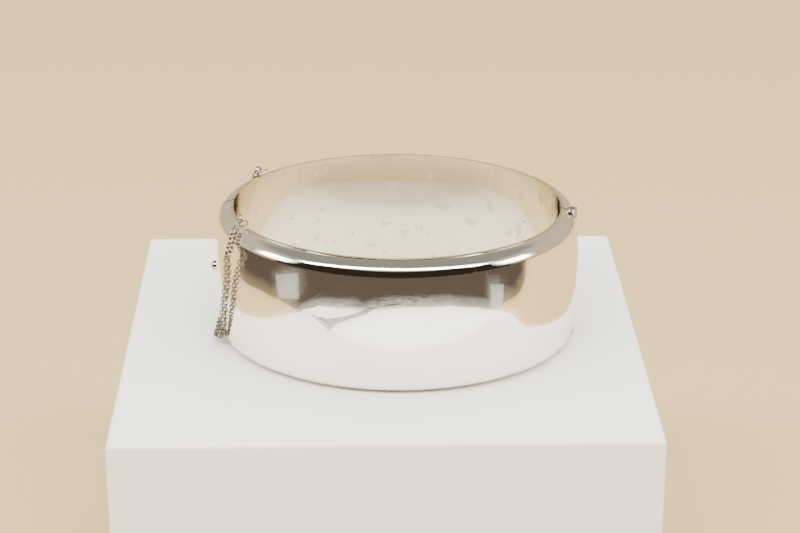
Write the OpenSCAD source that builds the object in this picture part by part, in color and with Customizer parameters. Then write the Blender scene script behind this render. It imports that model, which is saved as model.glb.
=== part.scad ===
// Hinged oval bangle: two hollow domed halves, a tube hinge, a box-and-tongue snap clasp
// and a doubled safety chain. It stands on its rim, so Z is the axis of the wrist opening.
// The hinge is at +X, the clasp at -X and the front half at -Y.

/* [Part] */
// Node to build, or all of them

/* [Band] */
// Width of the wrist opening, from clasp to hinge
opening_w = 60; // [58:0.5:64]
// Depth of the wrist opening, front to back
opening_d = 53.2; // [52:0.2:56]
// Height of the band
band_h = 25; // [24:0.5:27]
// How far the domed face stands out from the lining's inner face
dome_rise = 3.5; // [3.4:0.05:3.7]
// Radius of the dome's face, seen in section
crown_r = 90; // [75:1:120]
// Radius of the dome's shoulders, seen in section
shoulder_r = 2.8; // [2.6:0.1:3]
// Thickness of the domed sheet
wall = 0.5; // [0.4:0.05:0.6]
// Thickness of the flat lining
lining_t = 0.5; // [0.4:0.05:0.5]
// How far the lining's edges stand proud of the shoulders
lip = 0.12; // [0.05:0.01:0.2]
// Gap between the two halves when the bangle is shut
seam_gap = 0.2; // [0.1:0.05:0.3]
// Thickness of the plates that close the ends of each half
plate_t = 0.5; // [0.4:0.05:0.6]

/* [Hinge] */
// Distance of the hinge axis outside the lining's inner face
hinge_out = 2.05; // [2:0.05:2.2]
// Diameter of the hinge pin
pin_d = 0.95; // [0.8:0.05:1]
// Outside diameter of the knuckle tubes
knuckle_d = 1.9; // [1.7:0.05:2]
// Number of knuckles
knuckles = 5; // [3:2:7]
// Widest opening of the hinge, in degrees
open_angle = 44; // [30:1:50]

/* [Clasp] */
// Height of the tongue, along the seam
tongue_h = 8; // [6:0.5:9]
// Length of the tongue past the seam
tongue_l = 6.5; // [6:0.1:7]
// Thickness of the tongue's two leaves
leaf_t = 0.35; // [0.3:0.05:0.4]
// Diameter of the thumb press
press_d = 1.9; // [1.6:0.1:2]

/* [Safety chain] */
// Wire diameter of the links
link_wire = 0.22; // [0.2:0.01:0.24]
// Outside width of a link
link_w = 1; // [0.95:0.01:1.05]
// Links in each section of a strand
section_links = 6; // [5:1:6]
// Distance of each strand from the middle of the chain
strand_out = 0.52; // [0.5:0.01:0.56]

/* [Hidden] */
$fn = 96;
clearance = 0.03;
far = 50;
mid = band_h / 2;

// Four-centre oval of the lining's inner face: end arcs of end_r, side arcs of side_r
join_angle = 50;
arc_step = (opening_w - opening_d) / 2 / (sin(join_angle) + cos(join_angle) - 1);
end_r = opening_w / 2 - arc_step * cos(join_angle);
side_r = opening_d / 2 + arc_step * sin(join_angle);
end_x = opening_w / 2 - end_r;
side_y = side_r - opening_d / 2;

// Section of the dome: a crown arc that runs into two shoulder arcs
dome_half_h = mid - lip;
shoulder_angle = asin((dome_half_h - shoulder_r) / (crown_r - shoulder_r));
crown_x = dome_rise - crown_r;
shoulder_x = crown_x + (crown_r - shoulder_r) * cos(shoulder_angle);
shoulder_z = (crown_r - shoulder_r) * sin(shoulder_angle);

// Hinge
hinge_x = opening_w / 2 + hinge_out;
channel_r = knuckle_d / 2 + 0.08;
bevel = open_angle / 2 + 2;
knuckle_gap = 0.06;
knuckle_z0 = 0.1;
knuckle_z1 = band_h - 0.05;
knuckle_h = (knuckle_z1 - knuckle_z0 - (knuckles - 1) * knuckle_gap) / knuckles;
pin_recess = 0.5;
solder_z = 2.8;

// Clasp: the tongue follows a circle round the hinge, so that it slides straight out of its slot
base_r = hinge_x + opening_w / 2 + 0.95;
base_t = leaf_t + 0.05;
fold_pin_r = 0.22;
fold_r = base_r + base_t + fold_pin_r - 0.03;
fold_x = hinge_x - sqrt(pow(fold_r, 2) - pow(tongue_l, 2));
catch_depth = 0.15;
slot_in = opening_w / 2 + 0.75;
slot_out = opening_w / 2 + 2.1;
slot_h = tongue_h + 0.6;
leaf_end_y = -seam_gap / 2 - plate_t - 0.25;
leaf_end_x = -slot_out - catch_depth - leaf_t / 2;
leaf_lean = atan((fold_x - leaf_end_x) / (tongue_l + leaf_end_y));
leaf_l = norm([fold_x - leaf_end_x, tongue_l + leaf_end_y]);
press_y = -1.75;
press_top = opening_w / 2 + 4.4;
press_post_d = 1.2;
press_post_in = opening_w / 2 + 2.23;
notch_h = press_d + 0.6;
notch_l = 3;
box_wall = 0.3;
box_end_y = -tongue_l - 1.2;

// Chain eye and jump ring, in a frame on the rim's inner edge: outward, away from the clasp, up
eye_angle = 30;
eye_r = 0.85;
eye_wire = 0.46;
eye_centre = [0.6, 0, band_h + 0.95];
ring_r = 1.35;
ring_wire = 0.24;
ring_centre = [1.05, 1.5, band_h + 0.42];
ring_lean = 28;
ring_tip = 9;
ring_out = [cos(ring_lean), -sin(ring_lean) * sin(ring_tip), -sin(ring_lean) * cos(ring_tip)];

// Chain sections from the jump ring to the middle of the chain, each a straight run of links:
// [compass heading, dip below level, heading of the line from strand to strand, turn of the first
// link about the run], in degrees
chain_runs = [
    [253, 48, -60, 90],
    [105, 72.5, -56, 45],
    [124, 74.5, -55, 0],
    [109, 66.5, -55, 0],
    [115, 49, -42, 0],
    [97, 17, -15, 0],
    [92, 0, 0, 45]
];
sections = len(chain_runs);
hook_gap = 0.05;
chain_hook = eye_frame_point(ring_centre + sqrt(pow(ring_r, 2) - pow(strand_out, 2)) * ring_out);
run_dirs = [for (run = chain_runs) heading(run)];
half_chain_l = sections * (-chain_hook[1] - hook_gap * run_dirs[0][1]) / sum_y(sections);
link_pitch = round(1000 * half_chain_l / sections / section_links) / 1000;
section_l = section_links * link_pitch;
link_slack = 0.04;
link_l = link_pitch + 2 * link_wire + link_slack;

function heading(run) = [
    cos(run[0]) * cos(run[1]),
    sin(run[0]) * cos(run[1]),
    -sin(run[1])
];

// Sum of the Y parts of the first n section directions
function sum_y(n) = n == 0 ? 0 : run_dirs[n - 1][1] + sum_y(n - 1);

// Start of section i, counted from 0
function section_start(i) = i == 0
    ? chain_hook + hook_gap * run_dirs[0]
    : section_start(i - 1) + section_l * run_dirs[i - 1];

function eye_frame_point(p) = [
    -end_x - (end_r + p[0]) * cos(eye_angle) + p[1] * sin(eye_angle),
    -(end_r + p[0]) * sin(eye_angle) - p[1] * cos(eye_angle),
    p[2]
];

function unit(v) = v / norm(v);

// Height of the crown arc's end above the dome's middle, at an inset from the outer surface
function crown_half_h(inset) = (crown_r - inset) * sin(shoulder_angle);

// Places children with their X, Y and Z along three directions at a point
module place(point, x_dir, y_dir, z_dir) {
    multmatrix([
        [x_dir[0], y_dir[0], z_dir[0], point[0]],
        [x_dir[1], y_dir[1], z_dir[1], point[1]],
        [x_dir[2], y_dir[2], z_dir[2], point[2]],
        [0, 0, 0, 1]
    ])
        children();
}

module torus(r, wire, fn = 48) {
    rotate_extrude($fn = fn)
        translate([r, 0])
            circle(d = wire, $fn = 24);
}

// Section of the space under the dome's outer surface, less an inset, outside the lining
module dome_section(inset) {
    intersection() {
        union() {
            intersection() {
                translate([crown_x, mid])
                    circle(r = crown_r - inset, $fn = 720);
                translate([0, mid - crown_half_h(inset)])
                    square([dome_rise + 1, 2 * crown_half_h(inset)]);
            }
            for (side = [-1, 1])
                translate([shoulder_x, mid + side * shoulder_z])
                    circle(r = shoulder_r - inset);
        }
        translate([lining_t, 0])
            square([dome_rise + 1, band_h]);
    }
}

// Sweeps a section along the front half of the oval
module along_front() {
    translate([-end_x, 0, 0])
        rotate_extrude(angle = join_angle, start = 180, $fn = 240)
            translate([end_r, 0])
                children();
    translate([0, side_y, 0])
        rotate_extrude(angle = 180 - 2 * join_angle, start = 180 + join_angle, $fn = 240)
            translate([side_r, 0])
                children();
    translate([end_x, 0, 0])
        rotate_extrude(angle = join_angle, start = -join_angle, $fn = 240)
            translate([end_r, 0])
                children();
}

// What lies past the front half's ends, less a thickness: the seam, the hinge bevel and channel
module past_ends(thickness) {
    translate([-far, -seam_gap / 2 - thickness, -1])
        cube([2 * far, far, band_h + 2]);
    translate([hinge_x, 0, -1]) {
        rotate([0, 0, -bevel])
            translate([0, -thickness, 0])
                cube([far, far, band_h + 2]);
        cylinder(r = channel_r + thickness, h = band_h + 2);
    }
}

module half_shell() {
    difference() {
        along_front()
            difference() {
                dome_section(0);
                dome_section(wall);
            }
        past_ends(0);
    }
}

module half_lining() {
    difference() {
        along_front()
            square([lining_t, band_h]);
        past_ends(0);
    }
}

// Plate that closes one end of the front half: side is 1 at the hinge and -1 at the clasp
module end_plate(side) {
    difference() {
        intersection() {
            along_front()
                dome_section(wall);
            past_ends(plate_t);
            translate([side > 0 ? 0 : -far, -far, 0])
                cube([far, 2 * far, band_h]);
        }
        past_ends(0);
    }
}

// Slot for the tongue, and the notch above it for the thumb press
module clasp_slot() {
    translate([-slot_out, -far / 2, mid - slot_h / 2])
        cube([slot_out - slot_in, far, slot_h]);
    press_notch();
}

module press_notch() {
    translate([-far, -notch_l, mid - notch_h / 2])
        cube([far - slot_out, far, notch_h]);
}

// Knuckle tubes of one half, with the solder that holds each in the half's channel
module knuckle_tubes(first, bore_d) {
    translate([hinge_x, 0, 0])
        difference() {
            union() {
                for (i = [first:2:knuckles - 1])
                    translate([0, 0, knuckle_z0 + i * (knuckle_h + knuckle_gap)])
                        cylinder(d = knuckle_d, h = knuckle_h);
                solder_saddles(first);
            }
            translate([0, 0, -1])
                cylinder(d = bore_d, h = band_h + 2);
        }
}

module solder_saddles(first) {
    inset = 0.05;
    difference() {
        intersection() {
            for (i = [first:2:knuckles - 1])
                translate([0, 0, knuckle_z0 + i * (knuckle_h + knuckle_gap)])
                    cylinder(r = channel_r, h = knuckle_h);
            translate([-channel_r, -far, solder_z])
                cube([2 * channel_r, far - seam_gap / 2 - inset, band_h - 2 * solder_z]);
        }
        rotate([0, 0, -bevel])
            translate([0, -inset, -1])
                cube([far, far, band_h + 2]);
    }
}

// Places children in the eye's frame, with X outward, Y away from the clasp and Z up
module on_rim() {
    place(
        eye_frame_point([0, 0, 0]),
        [-cos(eye_angle), -sin(eye_angle), 0],
        [sin(eye_angle), -cos(eye_angle), 0],
        [0, 0, 1]
    )
        children();
}

// Eye soldered upright on the rim, with its hole facing outward
module chain_eye() {
    difference() {
        on_rim()
            translate(eye_centre) {
                rotate([0, 90, 0])
                    torus(eye_r, eye_wire);
                translate([0, 0, -eye_r - 0.6])
                    cylinder(d = eye_wire, h = 0.6);
            }
        along_front()
            dome_section(0);
        along_front()
            square([lining_t, band_h]);
    }
}

// Jump ring round one side of the eye, leaning outward over the shoulder
module jump_ring() {
    on_rim()
        translate(ring_centre)
            rotate([-ring_tip, 0, 0])
                rotate([0, ring_lean, 0])
                    torus(ring_r, ring_wire);
}

// One chain link, lying along X
module link() {
    straight = link_l - link_w;
    end_line_r = (link_w - link_wire) / 2;
    for (side = [-1, 1]) {
        translate([side * straight / 2, 0, 0])
            rotate_extrude(angle = 180, start = -90 * side, $fn = 32)
                translate([end_line_r, 0])
                    circle(d = link_wire, $fn = 16);
        translate([-straight / 2, side * end_line_r, 0])
            rotate([0, 90, 0])
                cylinder(d = link_wire, h = straight, $fn = 16);
    }
}

// One section of the doubled chain of the front half, its links turned by extra degrees about it
module chain_section(i, extra) {
    along = run_dirs[i];
    level = [cos(chain_runs[i][2]), sin(chain_runs[i][2]), 0];
    across = unit(level - (level * along) * along);
    place(section_start(i), along, across, cross(along, across))
        for (strand = [-1, 1], k = [0:section_links - 1])
            translate([(k + 0.5) * link_pitch, strand * strand_out, 0])
                rotate([chain_runs[i][3] + 90 * k + extra, 0, 0])
                    link();
}

module front_outer_shell() {
    color("Silver")
        difference() {
            half_shell();
            press_notch();
        }
}

module front_inner_lining() {
    color("LightGray")
        half_lining();
}

module front_hinge_plate() {
    color("DarkGray")
        end_plate(1);
}

module front_clasp_plate() {
    color("DarkGray")
        difference() {
            end_plate(-1);
            clasp_slot();
        }
}

module front_catch_box() {
    floor_r = base_r - box_wall - 0.15;
    color("Gray")
        intersection() {
            translate([hinge_x, 0, mid - slot_h / 2 - box_wall])
                difference() {
                    cylinder(r = fold_r + 0.45, h = slot_h + 2 * box_wall, $fn = 720);
                    translate([0, 0, -1])
                        cylinder(r = floor_r, h = slot_h + 2, $fn = 720);
                    translate([0, 0, box_wall])
                        difference() {
                            cylinder(r = far * 2, h = slot_h);
                            cylinder(r = floor_r + box_wall, h = slot_h, $fn = 720);
                            translate([-far * 2, box_end_y - far, 0])
                                cube([far * 4, far + box_wall, slot_h]);
                        }
                }
            translate([-far, box_end_y, 0])
                cube([far, -box_end_y - seam_gap / 2 - plate_t, band_h]);
        }
}

module front_hinge_knuckles() {
    color("Silver")
        knuckle_tubes(0, pin_d);
}

module hinge_pin() {
    color("DimGray")
        translate([hinge_x, 0, knuckle_z0 + pin_recess])
            cylinder(d = pin_d, h = knuckle_z1 - knuckle_z0 - 2 * pin_recess);
}

module front_chain_eye() {
    color("Silver")
        chain_eye();
}

module back_outer_shell() {
    color("Silver")
        mirror([0, 1, 0])
            half_shell();
}

module back_inner_lining() {
    color("LightGray")
        mirror([0, 1, 0])
            half_lining();
}

module back_hinge_plate() {
    color("DarkGray")
        mirror([0, 1, 0])
            end_plate(1);
}

module back_clasp_plate() {
    color("DarkGray")
        mirror([0, 1, 0])
            end_plate(-1);
}

module back_hinge_knuckles() {
    color("Silver")
        mirror([0, 1, 0])
            knuckle_tubes(1, pin_d + 2 * clearance);
}

module back_chain_eye() {
    color("Silver")
        mirror([0, 1, 0])
            chain_eye();
}

module tongue_base_leaf() {
    color("Gray") {
        intersection() {
            translate([hinge_x, 0, mid - tongue_h / 2])
                difference() {
                    cylinder(r = base_r + base_t, h = tongue_h, $fn = 720);
                    translate([0, 0, -1])
                        cylinder(r = base_r, h = tongue_h + 2, $fn = 720);
                }
            translate([-far, -tongue_l, 0])
                cube([far, tongue_l + seam_gap / 2, band_h]);
        }
        translate([fold_x, -tongue_l, mid - tongue_h / 2])
            cylinder(r = fold_pin_r, h = tongue_h);
    }
}

module tongue_spring_leaf() {
    color("Gray")
        difference() {
            translate([fold_x, -tongue_l, mid - tongue_h / 2])
                rotate([0, 0, leaf_lean])
                    translate([-leaf_t / 2, 0, 0])
                        cube([leaf_t, leaf_l, tongue_h]);
            translate([fold_x, -tongue_l, 0])
                cylinder(r = fold_pin_r + clearance, h = band_h);
            press_post(far - press_post_in);
        }
}

// Round post of the thumb press, outward from its seat in the middle of the free leaf
module press_post(length) {
    translate([-press_post_in, press_y, mid])
        rotate([0, -90, 0])
            cylinder(d = press_post_d, h = length);
}

module thumb_press() {
    knob_in = opening_w / 2 + 2.85;
    knob_flat = press_top - 0.45;
    crown_ball_r = 1.3;
    color("Silver") {
        press_post(knob_in - press_post_in + 0.1);
        translate([0, press_y, mid])
            rotate([0, -90, 0])
                translate([0, 0, knob_in]) {
                    intersection() {
                        cylinder(d = press_d, h = press_top - knob_in);
                        translate([0, 0, press_top - knob_in - crown_ball_r])
                            sphere(r = crown_ball_r);
                    }
                    cylinder(d = press_d, h = knob_flat - knob_in);
                }
    }
}

module front_jump_ring() {
    color("Silver")
        jump_ring();
}

module back_jump_ring() {
    color("Silver")
        mirror([0, 1, 0])
            jump_ring();
}

module front_chain(i) {
    color("Gainsboro")
        chain_section(i - 1, 0);
}

module back_chain(i) {
    color("Gainsboro")
        mirror([0, 1, 0])
            chain_section(i - 1, i == sections ? 90 : 0);
}

front_outer_shell();
front_inner_lining();
front_hinge_plate();
front_clasp_plate();
front_catch_box();
front_hinge_knuckles();
hinge_pin();
front_chain_eye();
back_outer_shell();
back_inner_lining();
back_hinge_plate();
back_clasp_plate();
back_hinge_knuckles();
back_chain_eye();
tongue_base_leaf();
tongue_spring_leaf();
thumb_press();
front_jump_ring();
back_jump_ring();
front_chain(1);  // front_chain_1
front_chain(2);  // front_chain_2
front_chain(3);  // front_chain_3
front_chain(4);  // front_chain_4
front_chain(5);  // front_chain_5
front_chain(6);  // front_chain_6
front_chain(7);  // front_chain_7
back_chain(1);  // back_chain_1
back_chain(2);  // back_chain_2
back_chain(3);  // back_chain_3
back_chain(4);  // back_chain_4
back_chain(5);  // back_chain_5
back_chain(6);  // back_chain_6
back_chain(7);  // back_chain_7
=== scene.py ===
import math

import bmesh
import bpy
import numpy as np
from mathutils import Matrix, Vector


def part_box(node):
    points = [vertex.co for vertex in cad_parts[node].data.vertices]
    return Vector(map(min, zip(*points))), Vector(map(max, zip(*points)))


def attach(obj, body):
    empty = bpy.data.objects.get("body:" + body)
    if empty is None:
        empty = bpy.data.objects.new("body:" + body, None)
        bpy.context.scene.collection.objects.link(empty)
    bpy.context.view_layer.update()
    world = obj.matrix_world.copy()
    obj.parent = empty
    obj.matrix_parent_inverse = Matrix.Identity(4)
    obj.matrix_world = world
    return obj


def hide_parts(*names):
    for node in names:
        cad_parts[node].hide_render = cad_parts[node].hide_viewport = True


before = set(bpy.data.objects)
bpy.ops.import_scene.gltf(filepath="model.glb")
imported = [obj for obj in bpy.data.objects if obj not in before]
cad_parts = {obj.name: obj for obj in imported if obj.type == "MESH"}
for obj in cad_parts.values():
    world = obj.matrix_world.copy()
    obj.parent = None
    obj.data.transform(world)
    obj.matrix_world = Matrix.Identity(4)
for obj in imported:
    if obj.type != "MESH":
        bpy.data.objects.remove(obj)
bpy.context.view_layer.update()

MM = 0.001

# --- Sizes, in metres. The band's are the same as in the part's source -------------------------

LINING_LOW, LINING_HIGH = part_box("front_inner_lining")
BAND_H = LINING_HIGH.z - LINING_LOW.z
MID_Z = (LINING_LOW.z + LINING_HIGH.z) / 2
OPENING_W = 60 * MM
OPENING_D = 53.2 * MM
DOME_RISE = 3.5 * MM
CROWN_R = 90 * MM
SHOULDER_R = 2.8 * MM
WALL = 0.5 * MM
LIP = 0.12 * MM

# The opening's outline: two end arcs and two side arcs, which join at this angle
JOIN_ANGLE = math.radians(50)
ARC_STEP = (OPENING_W - OPENING_D) / 2 / (math.sin(JOIN_ANGLE) + math.cos(JOIN_ANGLE) - 1)
END_R = OPENING_W / 2 - ARC_STEP * math.cos(JOIN_ANGLE)
SIDE_R = OPENING_D / 2 + ARC_STEP * math.sin(JOIN_ANGLE)
END_X = OPENING_W / 2 - END_R
SIDE_Y = SIDE_R - OPENING_D / 2

# The dome's profile: one crown arc and two shoulder arcs, out from the opening and up from MID_Z
SHOULDER_ANGLE = math.asin((BAND_H / 2 - LIP - SHOULDER_R) / (CROWN_R - SHOULDER_R))
CROWN_X = DOME_RISE - CROWN_R
SHOULDER_X = CROWN_X + (CROWN_R - SHOULDER_R) * math.cos(SHOULDER_ANGLE)
SHOULDER_Z = (CROWN_R - SHOULDER_R) * math.sin(SHOULDER_ANGLE)

# The block that the bracelet stands on
BLOCK_SIZE = 94.5 * MM
BLOCK_H = 60 * MM
BLOCK_CENTRE = (-2.6 * MM, -0.9 * MM)
BLOCK_TURN = math.radians(5.2)
BLOCK_EDGE = 0.7 * MM


# --- Camera ------------------------------------------------------------------------------------

# Where it looks, how far it is from the middle of the band's base along its own axes, and its lens
CAMERA_YAW, CAMERA_PITCH = math.radians(-4), math.radians(22.4)
CAMERA_RIGHT, CAMERA_UP, CAMERA_BACK = 0.47 * MM, 11.65 * MM, 419.5 * MM
LENS, SENSOR_W = 100.62, 36
HALF_PIXEL = 0.5 / 800


def make_camera():
    right = Vector((1, 0, 0))
    up = Vector((0, math.sin(CAMERA_PITCH), math.cos(CAMERA_PITCH)))
    back = Vector((0, -math.cos(CAMERA_PITCH), math.sin(CAMERA_PITCH)))
    place = CAMERA_RIGHT * right + CAMERA_UP * up + CAMERA_BACK * back
    turn = Matrix.Rotation(-CAMERA_YAW, 3, "Z")
    axes = Matrix((turn @ right, turn @ up, turn @ back)).transposed()
    data = bpy.data.cameras.new("camera")
    data.sensor_width = SENSOR_W
    data.lens = LENS
    data.shift_x = HALF_PIXEL
    data.shift_y = -HALF_PIXEL
    data.clip_start = 0.01
    data.clip_end = 20
    camera = bpy.data.objects.new("camera", data)
    camera.matrix_world = Matrix.Translation(turn @ place) @ axes.to_4x4()
    bpy.context.scene.collection.objects.link(camera)
    bpy.context.scene.camera = camera


# --- Materials ---------------------------------------------------------------------------------

class Nodes:
    """A small helper that adds shader nodes to one material and links them."""

    def __init__(self, name):
        self.material = bpy.data.materials.new(name)
        self.material.use_nodes = True
        self.tree = self.material.node_tree
        self.shader = self.tree.nodes["Principled BSDF"]
        self.coords = self.add("ShaderNodeTexCoord").outputs["Object"]

    def add(self, kind, inputs=None, **settings):
        node = self.tree.nodes.new(kind)
        for key, value in settings.items():
            setattr(node, key, value)
        for key, value in (inputs or {}).items():
            self.feed(node.inputs[key], value)
        return node

    def feed(self, socket, value):
        if isinstance(value, bpy.types.NodeSocket):
            self.tree.links.new(value, socket)
        else:
            socket.default_value = value

    def mapped(self, scale, rotation=(0, 0, 0)):
        node = self.add("ShaderNodeMapping", {
            "Vector": self.coords, "Scale": scale, "Rotation": rotation})
        return node.outputs["Vector"]

    def noise(self, size, detail=2.0, roughness=0.5, vector=None, distortion=0.0):
        node = self.add("ShaderNodeTexNoise", {
            "Vector": vector or self.coords, "Scale": 1 / size, "Detail": detail,
            "Roughness": roughness, "Distortion": distortion})
        return node.outputs["Fac"]

    def ramp(self, value, low, high, out_low=0.0, out_high=1.0):
        node = self.add("ShaderNodeMapRange", {
            "Value": value, "From Min": low, "From Max": high, "To Min": out_low, "To Max": out_high})
        return node.outputs["Result"]

    def math(self, operation, a, b=0.0):
        node = self.add("ShaderNodeMath", {0: a, 1: b}, operation=operation)
        return node.outputs[0]

    def mix(self, factor, a, b):
        node = self.add("ShaderNodeMix", data_type="RGBA")
        self.feed(node.inputs[0], factor)
        self.feed(node.inputs[6], a)
        self.feed(node.inputs[7], b)
        return node.outputs[2]

    def bump(self, height, distance, strength=1.0, normal=None):
        node = self.add("ShaderNodeBump", {
            "Height": height, "Distance": distance, "Strength": strength})
        if normal is not None:
            self.feed(node.inputs["Normal"], normal)
        return node.outputs["Normal"]


def rgba(colour, level=1.0):
    return (*[c * level for c in colour], 1)


# Sizes of the silver's patterns, how far two of them lift the surface, and what others do to it
CLOUD_SIZE = 7 * MM
FINE_SIZE = 0.6 * MM
STAIN_SIZE = 2.2 * MM
SPOT_SIZE = 3.4 * MM
WAVE_SIZE, WAVE_LIFT = 9 * MM, 0.006 * MM
SCRATCH_SIZE, SCRATCH_LIFT = 5.5 * MM, 0.0008 * MM
SCRATCH_ROUGH = 0.06
STAIN_TINT = (0.62, 0.55, 0.45)
SPOT_LEVEL = 0.75
# Painted shade: the colour of the dark line where the two halves meet, for the shadow in the gap between
# them
SEAM_SHADE_COLOUR = (0.05, 0.045, 0.04, 1)


def scratches(nodes, density):
    """Fine straight wear lines in several directions: 1 on a line, 0 elsewhere."""
    lines = None
    for turn, stretch in ((0.5, 26), (1.9, 34), (2.7, 22)):
        along = nodes.mapped((1, stretch, stretch), (turn, 0.4 * turn, turn))
        streak = nodes.noise(SCRATCH_SIZE, 2, 0.6, along, 0.1)
        off_middle = nodes.math("ABSOLUTE", nodes.math("SUBTRACT", streak, 0.5))
        line = nodes.ramp(off_middle, 0.0, density, 1, 0)
        lines = line if lines is None else nodes.math("MAXIMUM", lines, line)
    return lines


def silver(name, tint, rough, wear, scratch=0.0, spots=0.0, tarnish=0.0, seam_shade_width=0.0):
    """Silver with a slow wave in the sheet and cloudy wear, and what the other values ask for.

    They are the width of the scratches, how rough the water spots are, how dark the tarnish is,
    and the width of the line of painted shade where the two halves meet, at Y = 0, which stands
    for the shadow in the gap between them.
    """
    nodes = Nodes(name)
    shader = nodes.shader
    shader.inputs["Metallic"].default_value = 1
    cloud = nodes.noise(CLOUD_SIZE, 3, 0.6)
    fine = nodes.noise(FINE_SIZE, 2, 0.6)
    colour = nodes.mix(nodes.ramp(cloud, 0.35, 0.75), rgba(tint), rgba(tint, 0.965))
    if tarnish:
        stain = nodes.ramp(nodes.noise(STAIN_SIZE, 4, 0.65), 0.5, 0.72)
        dark = rgba([t * stained for t, stained in zip(tint, STAIN_TINT)])
        colour = nodes.mix(nodes.math("MULTIPLY", stain, tarnish), colour, dark)
    roughness = nodes.ramp(cloud, 0.3, 0.8, rough, rough + wear)
    roughness = nodes.math("ADD", roughness, nodes.ramp(fine, 0.55, 0.85, 0, wear * 0.6))
    normal = nodes.bump(nodes.noise(WAVE_SIZE, 1, 0.4), WAVE_LIFT)
    if scratch:
        lines = scratches(nodes, scratch)
        roughness = nodes.math("ADD", roughness, nodes.math("MULTIPLY", lines, SCRATCH_ROUGH))
        normal = nodes.bump(nodes.math("MULTIPLY", lines, -1.0), SCRATCH_LIFT, 1.0, normal)
    if spots:
        spot = nodes.ramp(nodes.noise(SPOT_SIZE, 2, 0.5), 0.635, 0.66)
        roughness = nodes.math("ADD", roughness, nodes.math("MULTIPLY", spot, spots))
        colour = nodes.mix(nodes.math("MULTIPLY", spot, 0.5), colour, rgba(tint, SPOT_LEVEL))
    # Painted shade along Y = 0, where the halves meet, for the shadow in the gap between them; the
    # roughness rises there too
    if seam_shade_width:
        place = nodes.add("ShaderNodeSeparateXYZ", {0: nodes.coords}).outputs["Y"]
        seam_shade_mask = nodes.ramp(nodes.math("ABSOLUTE", place), 0.45 * seam_shade_width, seam_shade_width, 1, 0)
        colour = nodes.mix(seam_shade_mask, colour, SEAM_SHADE_COLOUR)
        roughness = nodes.math("ADD", roughness, nodes.math("MULTIPLY", seam_shade_mask, 0.5))
    nodes.feed(shader.inputs["Base Color"], colour)
    nodes.feed(shader.inputs["Roughness"], roughness)
    nodes.feed(shader.inputs["Normal"], normal)
    return nodes.material


def block_material():
    """White frosted acrylic with a very soft sheen."""
    nodes = Nodes("frosted_block")
    cloud = nodes.noise(14 * MM, 2, 0.5)
    colour = nodes.mix(cloud, (0.84, 0.815, 0.765, 1), (0.88, 0.855, 0.80, 1))
    nodes.feed(nodes.shader.inputs["Base Color"], colour)
    nodes.shader.inputs["Roughness"].default_value = 0.5
    nodes.shader.inputs["Specular IOR Level"].default_value = 0.3
    grain = nodes.noise(0.35 * MM, 2, 0.5)
    nodes.feed(nodes.shader.inputs["Normal"], nodes.bump(grain, 0.01 * MM, 0.4))
    return nodes.material


def floor_material():
    """Plain pale cloth."""
    nodes = Nodes("pale_floor")
    thread = nodes.noise(0.9 * MM, 2, 0.6, nodes.mapped((1, 3, 1)))
    colour = nodes.mix(thread, (0.48, 0.345, 0.170, 1), (0.60, 0.445, 0.240, 1))
    nodes.feed(nodes.shader.inputs["Base Color"], colour)
    nodes.shader.inputs["Roughness"].default_value = 0.9
    nodes.shader.inputs["Specular IOR Level"].default_value = 0.1
    return nodes.material


# --- Stage and light ---------------------------------------------------------------------------

def link_mesh(name, mesh):
    obj = bpy.data.objects.new(name, mesh)
    bpy.context.scene.collection.objects.link(obj)
    return obj


def make_block():
    bm = bmesh.new()
    bmesh.ops.create_cube(bm, size=1)
    bmesh.ops.scale(bm, verts=bm.verts, vec=(BLOCK_SIZE, BLOCK_SIZE, BLOCK_H))
    bmesh.ops.translate(bm, verts=bm.verts, vec=(0, 0, -BLOCK_H / 2))
    bmesh.ops.bevel(bm, geom=bm.edges[:], offset=BLOCK_EDGE, segments=4, profile=0.5, affect="EDGES")
    bmesh.ops.rotate(bm, verts=bm.verts, matrix=Matrix.Rotation(BLOCK_TURN, 3, "Z"))
    bmesh.ops.translate(bm, verts=bm.verts, vec=(*BLOCK_CENTRE, 0))
    mesh = bpy.data.meshes.new("block")
    bm.to_mesh(mesh)
    bm.free()
    for polygon in mesh.polygons:
        polygon.use_smooth = polygon.area < BLOCK_EDGE ** 2
    block = link_mesh("block", mesh)
    block.data.materials.append(block_material())


def make_floor():
    bm = bmesh.new()
    bmesh.ops.create_grid(bm, x_segments=1, y_segments=1, size=3)
    bmesh.ops.translate(bm, verts=bm.verts, vec=(0, 0, -BLOCK_H))
    mesh = bpy.data.meshes.new("floor")
    bm.to_mesh(mesh)
    bm.free()
    floor = link_mesh("floor", mesh)
    floor.data.materials.append(floor_material())


def area_light(name, place, size, power, colour):
    """A rectangular light that faces the middle of the bracelet."""
    data = bpy.data.lights.new(name, "AREA")
    data.shape = "RECTANGLE"
    data.size, data.size_y = size
    data.energy = power
    data.color = colour
    light = bpy.data.objects.new(name, data)
    way = Vector(place) - Vector((0, 0, MID_Z))
    light.matrix_world = Matrix.Translation(place) @ way.to_track_quat("Z", "Y").to_matrix().to_4x4()
    bpy.context.scene.collection.objects.link(light)
    return light


def make_lights():
    overhead = area_light("overhead", (0, 0.45, 1.4), (2.0, 1.4), 42, (1, 0.975, 0.93))
    overhead.visible_glossy = False
    area_light("front_strip", (0, -0.55, 0.85), (1.9, 0.2), 30, (1, 0.99, 0.97))
    area_light("left_fill", (-1.2, -0.35, 0.5), (0.5, 0.5), 9, (1, 0.98, 0.95))
    area_light("right_fill", (1.2, -0.3, 0.5), (0.5, 0.5), 9, (1, 0.98, 0.95))


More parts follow.
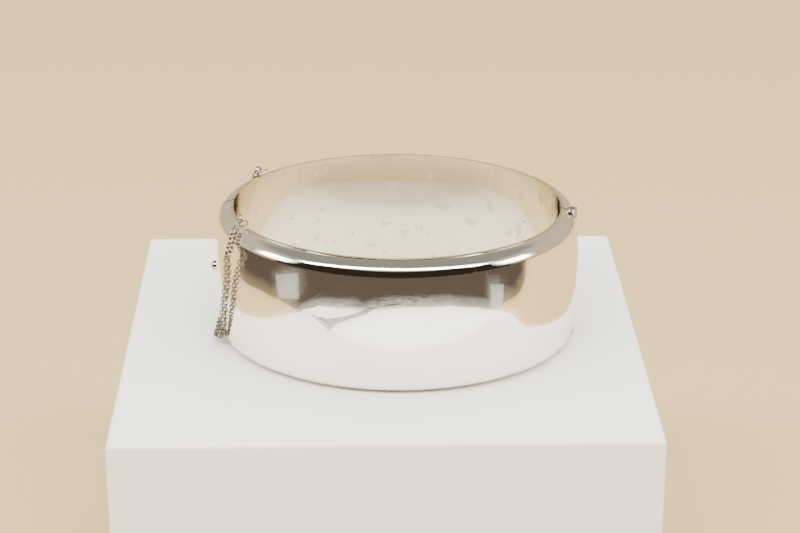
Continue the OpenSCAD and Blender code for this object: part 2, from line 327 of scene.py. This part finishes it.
def card(name, points, faces, colour, glow=0.0):
    """A studio card that only the silver's reflections show: it isn't seen and casts no shade."""
    mesh = bpy.data.meshes.new(name)
    mesh.from_pydata(points, [], faces)
    obj = link_mesh(name, mesh)
    nodes = Nodes(name)
    uneven = nodes.mix(nodes.noise(60 * MM, 3, 0.5), rgba(colour), rgba(colour, 0.8))
    nodes.feed(nodes.shader.inputs["Base Color"], uneven)
    nodes.shader.inputs["Roughness"].default_value = 0.9
    nodes.shader.inputs["Specular IOR Level"].default_value = 0
    nodes.shader.inputs["Emission Color"].default_value = rgba(colour)
    nodes.shader.inputs["Emission Strength"].default_value = glow
    obj.data.materials.append(nodes.material)
    obj.visible_camera = False
    obj.visible_diffuse = False
    obj.visible_shadow = False


# The level cards lie just above the floor, and the dark one reaches as far as the wall
CARD_LEVEL = 1 * MM - BLOCK_H
ROOM = 2.9
ROOM_H = 2.5


def level_card(name, corners, lift, colour, glow=0.0):
    points = [(x, y, CARD_LEVEL + lift) for x, y in corners]
    card(name, points, [range(len(points))], colour, glow)


def dark_wall():
    """The dim side of the studio behind the camera, as the silver reflects it."""
    points, faces = [], []
    for k, degrees in enumerate(range(-160, -10, 10)):
        angle = math.radians(degrees)
        points += [(ROOM * math.cos(angle), ROOM * math.sin(angle), z) for z in (-BLOCK_H, ROOM_H)]
        if k:
            faces.append((2 * k - 2, 2 * k - 1, 2 * k + 1, 2 * k))
    card("dark_wall", points, faces, (0.042, 0.035, 0.030))


def make_cards():
    """A white card in front of the block, a dark one round it, three small ones and the wall."""
    white = [(0.177, -0.050), (0.060, -0.060), (-0.060, -0.055), (-0.165, -0.075), (-0.170, -0.135),
             (-0.160, -0.190), (-0.100, -0.245), (0.020, -0.283), (0.140, -0.235), (0.180, -0.165),
             (0.188, -0.107)]
    level_card("white_card", white, 0, (0.95, 0.93, 0.86), 0.9)
    dark = [(-ROOM, -ROOM), (ROOM, -ROOM), (ROOM, -0.35), (0.30, -0.06), (0.245, -0.074), (0.205, -0.118),
            (0.188, -0.130), (0.180, -0.165), (0.140, -0.225), (0.080, -0.262), (0.020, -0.270),
            (-0.050, -0.252), (-0.100, -0.235), (-0.160, -0.190), (-0.170, -0.135), (-0.211, -0.100),
            (-0.235, -0.046), (-0.237, 0.041), (-0.50, 0.12), (-ROOM, 0.6)]
    level_card("dark_card", dark, 0, (0.042, 0.033, 0.027))
    arm = [(-0.165, -0.115), (-0.105, -0.150), (-0.075, -0.205), (-0.030, -0.275), (-0.045, -0.280),
           (-0.092, -0.205), (-0.118, -0.166), (-0.172, -0.135)]
    level_card("dark_arm", arm, 1 * MM, (0.008, 0.007, 0.006))
    left = [(-0.30, -0.12), (-0.31, -0.23), (-0.20, -0.157), (-0.215, -0.10)]
    level_card("left_patch", left, 1 * MM, (0.30, 0.31, 0.27))
    right = [(0.27, -0.19), (0.275, -0.14), (0.205, -0.108), (0.19, -0.135)]
    level_card("right_patch", right, 1 * MM, (0.36, 0.35, 0.33))
    dark_wall()


def make_world():
    """A plain studio: pale beige all round, under a grey ceiling."""
    world = bpy.data.worlds.new("studio")
    bpy.context.scene.world = world
    world.use_nodes = True
    tree = world.node_tree
    coords = tree.nodes.new("ShaderNodeTexCoord")
    split = tree.nodes.new("ShaderNodeSeparateXYZ")
    ramp = tree.nodes.new("ShaderNodeValToRGB")
    tree.links.new(coords.outputs["Generated"], split.inputs[0])
    tree.links.new(split.outputs["Z"], ramp.inputs[0])
    tree.links.new(ramp.outputs[0], tree.nodes["Background"].inputs["Color"])
    low, high = ramp.color_ramp.elements
    low.position, low.color = 0.66, (0.82, 0.69, 0.50, 1)
    high.position, high.color = 0.76, (0.36, 0.345, 0.305, 1)
    tree.nodes["Background"].inputs["Strength"].default_value = 1.0


# --- Smooth shading of the band ----------------------------------------------------------------

def oval_frame(x, y):
    """Distance outside the lining's inner face and the level outward direction there."""
    side_x, side_y = abs(x), abs(y)
    angle = math.atan2(side_y, side_x - END_X)
    if angle < JOIN_ANGLE:
        centre = Vector((math.copysign(END_X, x), 0))
        radius = END_R
    else:
        centre = Vector((0, -math.copysign(SIDE_Y, y)))
        radius = SIDE_R
    away = Vector((x, y)) - centre
    return away.length - radius, away.normalized()


# A face takes the exact normal if its own is within this cosine of it, and, at a shoulder, if it
# is this close to the arc
SAME_WAY = 0.985
NEAR = 0.03 * MM


def band_normal(point, face_normal):
    """The exact normal of the dome, its inside or the lining, where the face lies on one of them."""
    out, way = oval_frame(point.x, point.y)
    rise = point.z - MID_Z
    level = Vector((way.x, way.y, 0))
    choices = [level, -level]
    if abs(rise) <= SHOULDER_Z + 0.5 * MM:
        crown = Vector((out - CROWN_X, rise)).normalized()
        choices += [level * crown.x + Vector((0, 0, crown.y))]
    shoulder = Vector((out - SHOULDER_X, rise - math.copysign(SHOULDER_Z, rise)))
    radius = shoulder.length
    if min(abs(radius - SHOULDER_R), abs(radius - SHOULDER_R + WALL)) < NEAR:
        shoulder.normalize()
        choices += [level * shoulder.x + Vector((0, 0, shoulder.y))]
    choices += [-c for c in choices]
    best = max(choices, key=lambda c: c.dot(face_normal))
    return best if best.dot(face_normal) > SAME_WAY else face_normal


def smooth_band(name):
    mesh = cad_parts[name].data
    normals = [Vector((0, 0, 1))] * len(mesh.loops)
    for polygon in mesh.polygons:
        polygon.use_smooth = True
        for loop in polygon.loop_indices:
            point = mesh.vertices[mesh.loops[loop].vertex_index].co
            normals[loop] = band_normal(point, polygon.normal)
    mesh.normals_split_custom_set(normals)


def smooth_by_angle(obj, degrees=32):
    mesh = obj.data
    for polygon in mesh.polygons:
        polygon.use_smooth = True
    bm = bmesh.new()
    bm.from_mesh(mesh)
    for edge in bm.edges:
        if len(edge.link_faces) == 2:
            edge.smooth = edge.calc_face_angle(0) < math.radians(degrees)
    bm.to_mesh(mesh)
    bm.free()


def dress(names, material, smooth=True):
    for name in names:
        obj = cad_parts[name]
        if smooth:
            smooth_by_angle(obj)
        for slot in obj.material_slots:
            slot.material = material
        if not obj.material_slots:
            obj.data.materials.append(material)


# --- Safety chain ------------------------------------------------------------------------------

LINK_WIRE = 0.24 * MM
LINK_W = 1.0 * MM
LINK_SLACK = 0.04 * MM
STRAND_OUT = 0.52 * MM
SECTION_LINKS = 6
LOOSE_TURN = 4

# Each section's heading, dip and strand heading, as in the part's source, and its first link's turn
CHAIN_RUNS = (
    (253, 48, -60, 90),
    (105, 72.5, -56, 45),
    (124, 74.5, -55, 45),
    (109, 66.5, -55, 45),
    (115, 49, -42, 45),
    (97, 17, -15, 45),
    (92, 0, 0, 45),
)

# The jump ring that holds the chain, and its place on the rim, as on_rim takes it
EYE_ANGLE = math.radians(30)
RING_R = 1.35 * MM
RING_CENTRE = Vector((1.05 * MM, 1.5 * MM, BAND_H + 0.42 * MM))
RING_LEAN, RING_TIP = math.radians(28), math.radians(9)
HOOK_GAP = 0.05 * MM


def on_rim(point):
    """A point given outward from the rim's inner edge, away from the clasp, and up."""
    out, away, up = point
    return Vector((
        -END_X - (END_R + out) * math.cos(EYE_ANGLE) + away * math.sin(EYE_ANGLE),
        -(END_R + out) * math.sin(EYE_ANGLE) - away * math.cos(EYE_ANGLE),
        up,
    ))


def run_frame(run):
    """Along and across directions of one chain section."""
    heading, dip, strands = (math.radians(a) for a in run[:3])
    along = Vector((math.cos(heading) * math.cos(dip), math.sin(heading) * math.cos(dip), -math.sin(dip)))
    level = Vector((math.cos(strands), math.sin(strands), 0))
    across = (level - along * level.dot(along)).normalized()
    return along, across


def chain_route():
    """Starts of the front half's sections and the chain's middle, with each section's directions."""
    lean = Vector((math.cos(RING_LEAN), -math.sin(RING_LEAN) * math.sin(RING_TIP),
                   -math.sin(RING_LEAN) * math.cos(RING_TIP)))
    hook = on_rim(RING_CENTRE + math.sqrt(RING_R ** 2 - STRAND_OUT ** 2) * lean)
    frames = [run_frame(run) for run in CHAIN_RUNS]
    length = (-hook.y - HOOK_GAP * frames[0][0].y) / sum(along.y for along, _ in frames)
    pitch = round(length / SECTION_LINKS / MM, 3) * MM
    points = [hook + HOOK_GAP * frames[0][0]]
    for along, _ in frames:
        points.append(points[-1] + along * pitch * SECTION_LINKS)
    return points, frames, pitch


def link_ring(bm, matrix, length, around=26, wire_sides=10):
    """An oval wire link: its centre line lies in the matrix's first two axes."""
    straight = (length - LINK_W) / 2
    bend = (LINK_W - LINK_WIRE) / 2
    rings = []
    for k in range(around):
        a = 2 * math.pi * (k + 0.5) / around
        away = Vector((math.cos(a), math.sin(a), 0))
        centre = away * bend + Vector((math.copysign(straight, math.cos(a)), 0, 0))
        ring = []
        for j in range(wire_sides):
            b = 2 * math.pi * j / wire_sides
            offset = away * math.cos(b) + Vector((0, 0, 1)) * math.sin(b)
            ring.append(bm.verts.new(matrix @ (centre + offset * LINK_WIRE / 2)))
        rings.append(ring)
    for k in range(around):
        ring, following = rings[k], rings[(k + 1) % around]
        for j in range(wire_sides):
            turn = (j + 1) % wire_sides
            face = bm.faces.new((ring[j], following[j], following[turn], ring[turn]))
            face.smooth = True


def make_chain(material):
    points, frames, pitch = chain_route()
    length = pitch + 2 * LINK_WIRE + LINK_SLACK
    loose = np.random.default_rng(7)
    for half, flip in (("front", 1), ("back", -1)):
        mirror = Matrix.Diagonal((1, flip, 1, 1))
        for i, (along, across) in enumerate(frames):
            bm = bmesh.new()
            extra = 90 if half == "back" and i > 0 else 0
            for k in range(SECTION_LINKS):
                middle = points[i] + along * pitch * (k + 0.5)
                for strand in (-1, 1):
                    turn = CHAIN_RUNS[i][3] + 90 * k + extra + loose.uniform(-LOOSE_TURN, LOOSE_TURN)
                    place = Matrix((along, across, along.cross(across))).transposed().to_4x4()
                    place.translation = middle + strand * STRAND_OUT * across
                    link_ring(bm, mirror @ place @ Matrix.Rotation(math.radians(turn), 4, "X"), length)
            bmesh.ops.recalc_face_normals(bm, faces=bm.faces)
            mesh = bpy.data.meshes.new(f"{half}_links_{i + 1}")
            bm.to_mesh(mesh)
            bm.free()
            links = link_mesh(f"{half}_links_{i + 1}", mesh)
            links.data.materials.append(material)
            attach(links, f"{half}_chain_{i + 1}")
            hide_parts(f"{half}_chain_{i + 1}")


# --- Build -------------------------------------------------------------------------------------

make_camera()
make_block()
make_floor()
make_lights()
make_cards()
make_world()

# The shells and linings get a narrow line of painted shade where the two halves meet
polished = silver("polished_silver", (0.955, 0.92, 0.845),
                  rough=0.006, wear=0.010, scratch=0.012, seam_shade_width=0.3 * MM)
lining = silver("lining_silver", (0.82, 0.735, 0.565),
                rough=0.02, wear=0.03, scratch=0.016, spots=0.25, seam_shade_width=0.22 * MM)
tube = silver("tube_silver", (0.62, 0.59, 0.52), rough=0.16, wear=0.08, scratch=0.02, tarnish=0.9)
plate = silver("plate_silver", (0.80, 0.77, 0.71), rough=0.24, wear=0.08, scratch=0.02, tarnish=0.5)
leaf = silver("leaf_silver", (0.88, 0.86, 0.81), rough=0.16, wear=0.06, scratch=0.02, tarnish=0.25)
wire = silver("wire_silver", (0.55, 0.51, 0.43), rough=0.09, wear=0.05, tarnish=0.5)
# The chain's dark tint is partly its tarnish and partly painted shade, for the shade between its close
# links
chain = silver("chain_silver", (0.24, 0.21, 0.16), rough=0.12, wear=0.06, tarnish=1.0)
pin = silver("pin_wire", (0.72, 0.70, 0.67), rough=0.22, wear=0.08, tarnish=0.6)

dress(["front_outer_shell", "back_outer_shell"], polished, smooth=False)
dress(["front_inner_lining", "back_inner_lining"], lining, smooth=False)
for sheet in ("front_outer_shell", "back_outer_shell", "front_inner_lining", "back_inner_lining"):
    smooth_band(sheet)
dress(["front_hinge_plate", "back_hinge_plate", "front_clasp_plate", "back_clasp_plate"], plate)
dress(["front_catch_box"], plate)
dress(["front_hinge_knuckles", "back_hinge_knuckles"], tube)
dress(["hinge_pin"], pin)
dress(["tongue_base_leaf", "tongue_spring_leaf"], leaf)
dress(["thumb_press"], wire)
dress(["front_chain_eye", "back_chain_eye", "front_jump_ring", "back_jump_ring"], wire)
make_chain(chain)
